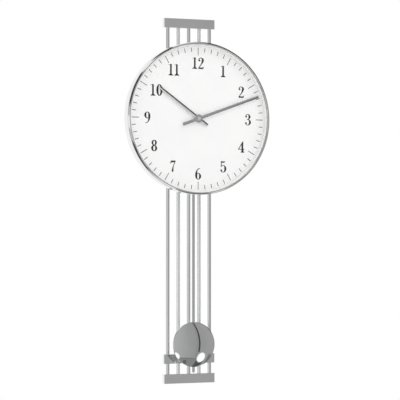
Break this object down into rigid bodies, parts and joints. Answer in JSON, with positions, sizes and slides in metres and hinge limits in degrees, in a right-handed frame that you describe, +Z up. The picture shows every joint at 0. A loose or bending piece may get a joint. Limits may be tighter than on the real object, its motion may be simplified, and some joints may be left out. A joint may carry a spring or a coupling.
{
  "type": "pendulum wall clock",
  "caption": "Wall clock: round chromed head with a white dial on a tall rack of slim rods, over a swinging strip pendulum with a domed bob.",
  "frame": {"origin": "on the hanger plate's back face, where the axis of the hands meets the wall", "axes": "+Y towards the wall, so the dial faces -Y; +Z up; +X to the right seen from the front"},
  "size_m": [0.202, 0.0504, 0.487],
  "materials": {
    "chrome": "polished chrome plate",
    "hand_metal": "polished, bevelled",
    "zinc_steel": "zinc plated",
    "turned_steel": "turned steel",
    "pan_steel": "pressed steel",
    "weight_iron": "raw",
    "grey_rubber": "matte",
    "clear_glass": "clear flat glass",
    "white_plastic": "satin",
    "white_enamel": "matt white lacquer with printed figures",
    "black_plastic": "moulded, fine texture",
    "gear_plastic": "moulded acetal",
    "brass": "plain brass",
    "copper_wire": "enamelled copper winding",
    "board_green": "solder mask",
    "battery_jacket": "shrink sleeve, plain"
  },
  "bodies": {
    "frame": {"top_bar": "chrome", "bottom_bar": "chrome", "lower_rail": "chrome", "upper_clamp_bar": "chrome", "lower_clamp_bar": "chrome", "rod_1": "chrome", "rod_2": "chrome", "rod_3": "chrome", "rod_4": "chrome", "rod_5": "chrome", "hanger_plate": "zinc_steel", "hanger_screw_1": "zinc_steel", "hanger_screw_2": "zinc_steel", "hanger_screw_3": "zinc_steel", "hanger_screw_4": "zinc_steel", "standoff_1": "turned_steel", "standoff_screw_1": "zinc_steel", "standoff_2": "turned_steel", "standoff_screw_2": "zinc_steel", "standoff_3": "turned_steel", "standoff_screw_3": "zinc_steel", "standoff_4": "turned_steel", "standoff_screw_4": "zinc_steel", "wall_bumper_left": "grey_rubber", "wall_bumper_right": "grey_rubber", "case_band": "chrome", "bezel": "chrome", "glass": "clear_glass", "spacer_ring": "white_plastic", "dial": "white_enamel", "back_pan": "pan_steel", "movement_front_shell": "black_plastic", "movement_rear_shell": "black_plastic", "fixing_nut": "brass", "battery_contact_top": "brass", "battery_contact_bottom": "brass", "circuit_board": "board_green", "stepper_coil": "copper_wire", "stepper_stator": "turned_steel", "pendulum_coil": "copper_wire", "pivot_pin": "turned_steel"},
    "minute_work": {"centre_wheel": "gear_plastic", "minute_hand": "hand_metal", "hand_cap": "hand_metal"},
    "hour_work": {"hour_wheel": "gear_plastic", "hour_hand": "hand_metal"},
    "minute_wheel": {"minute_wheel": "gear_plastic"},
    "third_wheel": {"third_wheel": "gear_plastic"},
    "seconds_wheel": {"seconds_wheel": "gear_plastic"},
    "setting_knob": {"setting_knob": "gear_plastic"},
    "pendulum": {"pendulum_hanger": "gear_plastic", "pendulum_magnet": "turned_steel", "pendulum_strip": "chrome"},
    "bob": {"bob_front": "chrome", "bob_back": "turned_steel", "bob_weight": "weight_iron", "bob_clip": "turned_steel"},
    "battery": {"battery": "battery_jacket"}
  },
  "joints": [
    {"name": "minute_turn", "type": "hinge", "parent": "frame", "child": "minute_work", "pos_m": [0, -0.036, 0], "axis": [0, 1, 0], "continuous": true},
    {"name": "hour_turn", "type": "hinge", "parent": "frame", "child": "hour_work", "pos_m": [0, -0.036, 0], "axis": [0, 1, 0], "continuous": true},
    {"name": "minute_wheel_turn", "type": "hinge", "parent": "frame", "child": "minute_wheel", "pos_m": [0.00771, -0.036, -0.00919], "axis": [0, 1, 0], "continuous": true},
    {"name": "third_wheel_turn", "type": "hinge", "parent": "frame", "child": "third_wheel", "pos_m": [-0.00882, -0.036, 0.0074], "axis": [0, 1, 0], "continuous": true},
    {"name": "seconds_wheel_turn", "type": "hinge", "parent": "frame", "child": "seconds_wheel", "pos_m": [-0.00618, -0.036, 0.01726], "axis": [0, 1, 0], "continuous": true},
    {"name": "setting_knob_turn", "type": "hinge", "parent": "frame", "child": "setting_knob", "pos_m": [0.01182, -0.036, -0.02047], "axis": [0, 1, 0], "continuous": true},
    {"name": "pendulum_swing", "type": "hinge", "parent": "frame", "child": "pendulum", "pos_m": [0, -0.027, 0.024], "axis": [0, 1, 0], "range_deg": [-5, 5]},
    {"name": "bob_slide", "type": "slide", "parent": "pendulum", "child": "bob", "axis": [0, 0, 1], "range_m": [-0.006, 0.03]},
    {"name": "battery_slide", "type": "slide", "parent": "frame", "child": "battery", "axis": [0, 1, 0], "range_m": [0, 0.01]}
  ],
  "couplings": [
    {"joint": "hour_turn", "follows": "minute_turn", "ratio": 0.083333},
    {"joint": "minute_wheel_turn", "follows": "minute_turn", "ratio": -0.33333},
    {"joint": "third_wheel_turn", "follows": "minute_turn", "ratio": -8},
    {"joint": "seconds_wheel_turn", "follows": "minute_turn", "ratio": 60},
    {"joint": "setting_knob_turn", "follows": "minute_turn", "ratio": 1}
  ]
}
